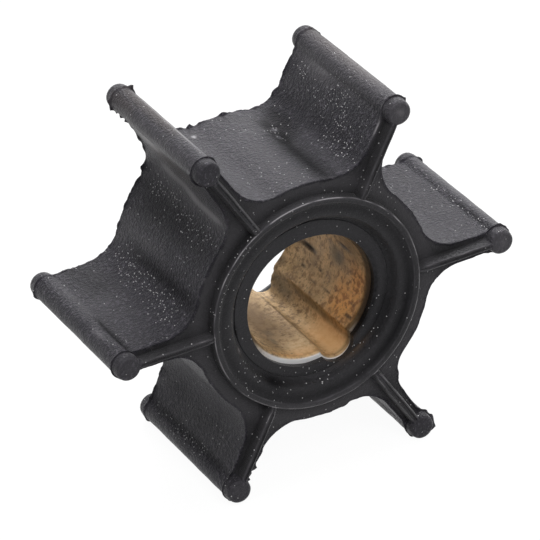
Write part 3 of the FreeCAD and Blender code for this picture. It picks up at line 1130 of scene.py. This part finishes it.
def paint_rubber(piece, star, sheet):
    points, angle = surface(piece)
    depth = sheet[:, :, 1]
    side = depth.size
    radius = np.hypot(points[:, 0], points[:, 2])
    front = (np.arange(len(points)) >= side) & (points[:, 1] < 0)
    on_sheet = np.arange(len(points)) < side
    grainy = np.where(radius > TIP_CIRCLE_RADIUS - GRAIN_REACH, GRAIN_AMOUNT, 0.0)
    grainy *= np.where(points[:, 1] > 0, BACK_GRAIN, 1)
    paint(piece.data, "side", np.where(on_sheet, 1.0, grainy))
    above = np.abs(points[:, 1]) - STAR_HALF
    # Ring, rib and disc edges, worn pale and painted with glinting highlight lines as well
    on_ring = between(radius, INNER_RING_EDGE) | between(radius, OUTER_RING_EDGE)
    on_ring &= above > RING_EDGE_HEIGHT
    on_rib = between(above, RIB_EDGE)
    patchy = np.array([noise.noise(Vector(point) * 0.8) for point in points])
    worn = (~on_sheet & (on_ring | on_rib)) * np.clip(0.8 + 0.9 * patchy, 0.2, 1.2)
    rib_share = np.where(radius > DISC_START, DISC_WEAR_AND_GLINT, RIB_WEAR_AND_GLINT)
    ring_share = np.where(radius < RING_CREST, INNER_WEAR_AND_GLINT, OUTER_WEAR_AND_GLINT)
    worn *= np.where(on_rib, rib_share, ring_share)
    for name, spots, marks, ground in (
        ("dust", DUST, FRONT_DUST, 0.05),
        ("light_shade_wear_and_stain", SIDE_LIGHT_AND_SHADE, FRONT_LIGHT_SHADE_AND_STAIN, 0.5),
        ("brown", SIDE_BROWN, FRONT_BROWN, 0.0),
    ):
        values = np.full(len(points), ground)
        values[:side] += side_spots(star, depth, spots).reshape(-1)
        values[front] += face_spots(angle, radius, marks)[front]
        if name == "light_shade_wear_and_stain":
            values += EDGE_WEAR_AND_GLINT * worn
        paint(piece.data, name, values)


# Stains of the bore, with painted light in the cream and ochre layers and painted shade in most of
# the umber layer: (layer, angle, y, half its angle, half its length, amount)
STAINS = [
    ("amber", 322, -4.6, 19, 2.4, 1),
    ("amber", 340, -5.6, 20, 1.6, 0.9),
    ("amber", 296, -5, 6, 3.4, 0.6),
    ("amber", 262, -7, 26, 0.25, 0.9),
    ("amber", 335, -7, 32, 0.16, 1),
    ("lit_cream", 294, -4.4, 8, 3.6, 1),
    ("lit_ochre", 293, -4.6, 9, 3.4, 1),
    ("lit_ochre", 262, -6.6, 22, 0.8, 0.6),
    ("lit_cream", 266, -5.4, 12, 1.8, 0.9),
    ("lit_cream", 318, 1, 10, 3, 0.3),
    ("lit_cream", 345, 3, 12, 3, 0.2),
    ("umber_shade_and_stain", 254, 1.6, 22, 6, 1),
    ("umber_shade_and_stain", 338, -7.35, 60, 0.5, 0.9),
    ("umber_shade_and_stain", 244, -3, 10, 3, 0.7),
    ("umber_shade_and_stain", 352, 5.5, 10, 2.5, 0.4),
    ("grey", 354, -1.2, 9, 1.3, 1),
    ("dark", 352, -1.8, 5, 0.8, 0.35),
    ("dark", 332, 2.4, 9, 1, 0.25),
    ("grey", 299, 6, 6, 2.4, 0.9),
    ("grey", 303.5, 1, 2.4, 7.5, 0.75),
    ("grey", 249, -3.6, 3, 0.8, 0.55),
    ("grey", 281, 0, 1.2, 7, 0.5),
    ("grey", 15, -4, 14, 3, 0.5),
    ("dark", 340.2, 4.2, 2.6, 1.7, 1),
    ("dark", 9, -2.9, 2.4, 1.3, 0.9),
    ("dark", 314, 7, 5, 0.7, 0.6),
    ("dark", 252, -2, 4, 0.7, 0.45),
    ("dark", 323, 3.8, 1.6, 0.5, 0.7),
    ("dark", 330.5, 1, 1.8, 0.4, 0.65),
    ("dark", 318, 1.2, 1, 0.6, 0.6),
    ("dark", 320, -1.3, 1, 1, 0.6),
    ("dark", 232, -4.9, 2, 0.5, 0.6),
    ("dark", 315.5, -6.2, 1.8, 0.6, 0.8),
    ("dark", 326, -5.8, 1.4, 0.5, 0.55),
    ("dark", 10, -7.3, 42, 0.45, 0.75),
    ("dark", 60, -7.3, 30, 0.45, 0.7),
    ("dark", 338, -7.4, 36, 0.28, 0.95),
]
# How strongly the insert's worn front edge is painted as a glint round the lip: (angle, share)
GLINT_ARC = [(0, 0), (205, 0), (228, 0.8), (240, 1), (300, 1), (306, 0.2), (318, 0), (360, 0)]
# The painted glint starts this share of the bevel in from the front end, and is full this many
# millimetres nearer to it
GLINT_START = 0.4
GLINT_FADE = 0.08
# Dark stain at both ends of the insert: width, soft edge and amount
END_STAIN = (0.3, 0.15, 0.75)
LAYERS = ("amber", "lit_cream", "lit_ochre", "umber_shade_and_stain", "grey", "dark")


def paint_insert(piece):
    points, angle = surface(piece)
    layers = {name: np.zeros(len(points)) for name in LAYERS}
    for name, middle, y, half_angle, half_length, amount in STAINS:
        across = ((angle - middle + 180) % 360 - 180) / half_angle
        along = (points[:, 1] - y) / half_length
        spot = np.exp(-np.abs(across) ** 3 - np.abs(along) ** 3)
        layers[name] = np.maximum(layers[name], amount * spot)
    # Painted glint on the worn front edge, round the lower side of the lip
    past_bevel = INSERT_HALF - BORE_BEVEL * GLINT_START + points[:, 1]
    at_end = np.clip(past_bevel / -GLINT_FADE, 0, 1)
    glint = np.interp(angle, *zip(*GLINT_ARC))
    layers["worn_edge_glint"] = at_end * glint
    width, fade, amount = END_STAIN
    stained = np.clip((np.abs(points[:, 1]) - INSERT_HALF + width) / fade, 0, 1)
    layers["dark"] = np.maximum(layers["dark"], amount * stained * (1 - glint))
    for name in ("amber", "grey", "dark"):
        layers[name] *= 1 - layers["worn_edge_glint"]
    for name, values in layers.items():
        paint(piece.data, name, values)


def dress(piece, node, material):
    piece.data.materials.append(material)
    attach(piece, "root")
    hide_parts(node)


def make_object():
    shell, star, sheet = rubber_shell()
    rubber = shell.object("moulded_rotor")
    paint_rubber(rubber, star, sheet)
    dress(rubber, "rubber_rotor", rubber_material())
    insert = insert_shell().object("bronze_insert")
    paint_insert(insert)
    dress(insert, "hub_insert", bronze_material())


# The floor: half its side, its grey, and its glow to camera, mirror and transmitted rays
FLOOR_REACH = 6000.0
FLOOR_SHARE = 0.09
FLOOR_GLOW = 0.95
# The world's light, and the heights between which mirror rays fall from white to it
WORLD_LEVEL = 0.32
MIRROR_SPAN = (0.0, 0.35)


def make_floor():
    """Pale floor that the camera and reflections see as white, save for the soft shadow."""
    level = cad_box[0].z / MM
    corners = [(-1, -1), (1, -1), (1, 1), (-1, 1)]
    shell = Shell()
    places = [(x * FLOOR_REACH, y * FLOOR_REACH, level) for x, y in corners]
    numbers = shell.add_points(np.array(places))
    shell.faces.append(numbers.tolist())
    floor = shell.object("floor")
    nodes = Nodes(bpy.data.materials.new("white_floor"))
    grey = (FLOOR_SHARE, FLOOR_SHARE, FLOOR_SHARE, 1)
    nodes.supply(nodes.shader, Base_Color=grey, Roughness=1.0, Specular_IOR_Level=0.0)
    path = nodes.add("LightPath")
    seen = nodes.math("MAXIMUM", path.outputs["Is Camera Ray"], path.outputs["Is Glossy Ray"])
    seen = nodes.math("MAXIMUM", seen, path.outputs["Is Transmission Ray"])
    strength = nodes.math("MULTIPLY", seen, FLOOR_GLOW)
    glow = nodes.add("Emission", Color=(1, 1, 1, 1), Strength=strength)
    both = nodes.add("AddShader")
    nodes.feed(both.inputs[0], nodes.shader.outputs[0])
    nodes.feed(both.inputs[1], glow.outputs[0])
    output = nodes.tree.nodes["Material Output"]
    nodes.feed(output.inputs["Surface"], both.outputs[0])
    floor.data.materials.append(nodes.owner)


def make_world():
    """Plain world: white where the camera sees it and in mirror rays near the horizon."""
    world = bpy.data.worlds.new("studio")
    bpy.context.scene.world = world
    nodes = Nodes(world)
    path = nodes.add("LightPath").outputs
    place = nodes.add("TexCoord").outputs["Generated"]
    height = nodes.add("SeparateXYZ", Vector=place).outputs["Z"]
    mirrored = nodes.ramp(height, *MIRROR_SPAN, 1.0, WORLD_LEVEL, "LINEAR")
    strength = nodes.ramp(path["Is Glossy Ray"], 0.0, 1.0, WORLD_LEVEL, mirrored, "LINEAR")
    for kind in ("Is Transmission Ray", "Is Camera Ray"):
        strength = nodes.ramp(path[kind], 0.0, 1.0, strength, 1.0, "LINEAR")
    nodes.supply(nodes.tree.nodes["Background"], Color=(1, 1, 1, 1), Strength=strength)


# Softboxes: (name, place, side, power in watts), all aimed at the part
SOFTBOXES = [
    ("back_light", (290.0, 370.0, 380.0), 420.0, 3.4),
    ("top_light", (-40.0, 60.0, 600.0), 420.0, 1.6),
    ("front_light", (20.0, -430.0, 420.0), 300.0, 1.4),
]


def make_lights():
    for name, place, side, power in SOFTBOXES:
        lamp = bpy.data.lights.new(name, "AREA")
        lamp.size = side * MM
        lamp.energy = power
        holder = bpy.data.objects.new(name, lamp)
        holder.location = Vector(place) * MM
        holder.rotation_euler = (-Vector(place)).to_track_quat("-Z", "Y").to_euler()
        bpy.context.collection.objects.link(holder)


# The camera fitted to the photograph: place in millimetres, angles in degrees
CAMERA_PLACE = (-160.0478, -339.9988, 218.2182)
CAMERA_AZIMUTH = -25.177
CAMERA_ELEVATION = 30.231
CAMERA_ROLL = -5.207
CAMERA_LENS = 302.17


def make_camera():
    data = bpy.data.cameras.new("photo_camera")
    data.sensor_width = 36.0
    data.lens = CAMERA_LENS
    data.clip_start = 0.01
    data.clip_end = 50.0
    camera = bpy.data.objects.new("photo_camera", data)
    turn = (
        Matrix.Rotation(math.radians(CAMERA_AZIMUTH), 4, "Z")
        @ Matrix.Rotation(math.radians(90 - CAMERA_ELEVATION), 4, "X")
        @ Matrix.Rotation(math.radians(CAMERA_ROLL), 4, "Z")
    )
    camera.matrix_world = Matrix.Translation(Vector(CAMERA_PLACE) * MM) @ turn
    bpy.context.collection.objects.link(camera)
    bpy.context.scene.camera = camera


make_object()
make_floor()
make_world()
make_lights()
make_camera()
bpy.context.scene.view_settings.view_transform = "Standard"
